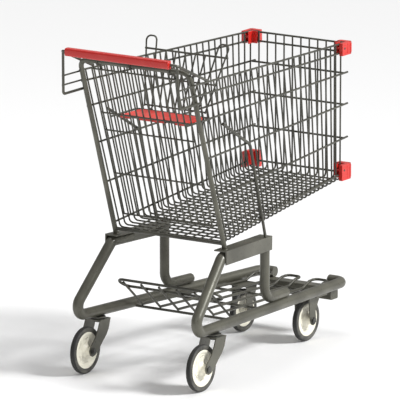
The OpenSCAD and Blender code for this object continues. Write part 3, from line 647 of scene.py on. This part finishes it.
def make_flap():
    """A thin tray with a rolled edge, ribs under it and three barrels that snap on the hinge rod."""
    low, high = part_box("seat_flap")
    axis = Vector((joint_place("seat_flap_fold").x, 0, joint_place("seat_flap_fold").z))
    t = 7 * MM
    x0 = axis.x + 7.4 * MM
    top, under = axis.z + t / 2, axis.z - t / 2
    flap = block((x0, low.y, under), (high.x, high.y, top))
    pick(flap, lambda mid, way: abs(way.z) > 0.9 and mid.x > high.x - 1 * MM, "EDGE")
    bpy.ops.mesh.bevel(offset=13 * MM, segments=6, affect="EDGES")
    pick(flap, lambda mid, normal: normal.z > 0.9)
    bpy.ops.mesh.inset(thickness=4 * MM, depth=0)
    bpy.ops.mesh.inset(thickness=1.6 * MM, depth=-1.3 * MM)
    pick(flap, lambda mid, normal: normal.z < -0.9)
    bpy.ops.mesh.inset(thickness=2.4 * MM, depth=0)
    bpy.ops.mesh.extrude_region_move(TRANSFORM_OT_translate={"value": (0, 0, 3.2 * MM)})
    close_up(flap, "seat_tray")
    soften(flap, 0.8 * MM, 3, 30)
    parts = []
    for y in (-84, -42, 0, 42, 84):
        rib = block((x0 + 1 * MM, (y - 1) * MM, under + 0.4 * MM),
                    (high.x - 2 * MM, (y + 1) * MM, under + 3.6 * MM))
        close_up(rib, "rib")
        parts.append(rib)
    for y in (-100, -30, 30, 100):
        rib = block((x0 + 6 * MM, (y - 1.3) * MM, top - 1.6 * MM),
                    (high.x - 8 * MM, (y + 1.3) * MM, top - 0.5 * MM))
        close_up(rib, "rib")
        soften(rib, 0.4 * MM, 2)
        parts.append(rib)
    for y0, y1 in ((low.y, -79.9 * MM), (-45.6 * MM, 45.6 * MM), (79.9 * MM, high.y)):
        parts.append(turned("barrel", (axis.x, y0, axis.z), (0, 1, 0), [
            (0.5 * MM, 3.45 * MM), (0, 3.9 * MM), (0, 5.4 * MM), (0.6 * MM, 5.95 * MM),
            (y1 - y0 - 0.6 * MM, 5.95 * MM), (y1 - y0, 5.4 * MM), (y1 - y0, 3.9 * MM),
            (y1 - y0 - 0.5 * MM, 3.45 * MM), (0.5 * MM, 3.45 * MM)], 40))
        neck = block((axis.x + 4.6 * MM, y0 + 1.5 * MM, under + 0.8 * MM),
                     (x0 + 2 * MM, y1 - 1.5 * MM, top - 0.8 * MM))
        close_up(neck, "neck")
        parts.append(neck)
    barrels = joined("seat_tray_ribs", parts)
    fit_out(flap, "seat_flap", "red_plastic", "seat_flap", material=RED_FLAP)
    fit_out(barrels, "seat_flap", "red_plastic", material=RED_FLAP)


def joint_place(name):
    for j in frame["record"]["behaviour"]["joints"]:
        if j["name"] == name:
            return Vector(j["pos_m"])


make_flap()


# ---- Plugs in the ends of the front posts ----

def make_post_plugs():
    """A domed plastic plug pressed into the open end of each post's foot."""
    low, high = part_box("front_post_left")
    taper, fall = 0.07, 0.026
    along = Vector((1, -taper, -fall)).normalized()
    toe = Vector((high.x - 9.2 * MM, low.y + POST_RADIUS, low.z + POST_RADIUS))
    plug = turned("post_plug_left", toe, along, [
        (-3 * MM, 0), (-3 * MM, 12 * MM), (-0.4 * MM, 12.6 * MM), (0.4 * MM, 14.3 * MM),
        (2.2 * MM, 14.3 * MM), (4.4 * MM, 13.2 * MM), (6.6 * MM, 10.6 * MM), (8.2 * MM, 6.4 * MM),
        (8.8 * MM, 0)], 40, 50)
    twin = copy_of(plug, "post_plug_right", True)
    fit_out(plug, "chassis", "frame_steel")
    fit_out(twin, "chassis", "frame_steel")


make_post_plugs()


# ---- Weld beads ----

def weld_ring(centre, axis, radius, bead, name="bead"):
    """A lumpy ring of weld round a tube, its ripples pushed up step by step."""
    begin()
    axis = Vector(axis).normalized()
    bpy.ops.mesh.primitive_torus_add(
        location=centre, rotation=axis.to_track_quat("Z", "Y").to_euler(),
        major_radius=radius, minor_radius=bead, major_segments=48, minor_segments=8)
    ring = bpy.context.object
    bpy.ops.object.transform_apply(location=True, rotation=True, scale=True)
    edit(ring)
    turn = [0]

    def every_third(mid, normal):
        turn[0] += 1
        return turn[0] % 3 == 0
    pick(ring, every_third)
    bpy.ops.mesh.inset(thickness=bead * 0.2, depth=bead * 0.12, use_individual=True)
    return close_up(ring, name, 60)


def make_welds():
    low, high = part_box("front_post_left")
    rail_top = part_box("side_rail_left")[1].z
    frame_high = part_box("rear_frame")[1]
    plate_low, plate_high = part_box("swivel_plate_left")
    mid = (plate_low + plate_high) / 2
    beads = []
    for side in (-1, 1):
        post = (low.x + POST_RADIUS, side * (high.y - POST_RADIUS), high.z - 1.2 * MM)
        beads.append(weld_ring(post, (0, 0, 1), 14.6 * MM, 1.7 * MM))
        stem = (frame_high.x - 8.0 * MM, side * (frame_high.y - 7.5 * MM), rail_top - 0.4 * MM)
        beads.append(weld_ring(stem, (-0.12, 0, 1), 7.9 * MM, 1.5 * MM))
        plate = (mid.x, side * mid.y, plate_high.z - 0.9 * MM)
        beads.append(weld_ring(plate, (0, 0, 1), 22.2 * MM, 1.1 * MM))
    joined_beads = joined("frame_weld_beads", beads)
    fit_out(joined_beads, "chassis", "frame_steel")


make_welds()
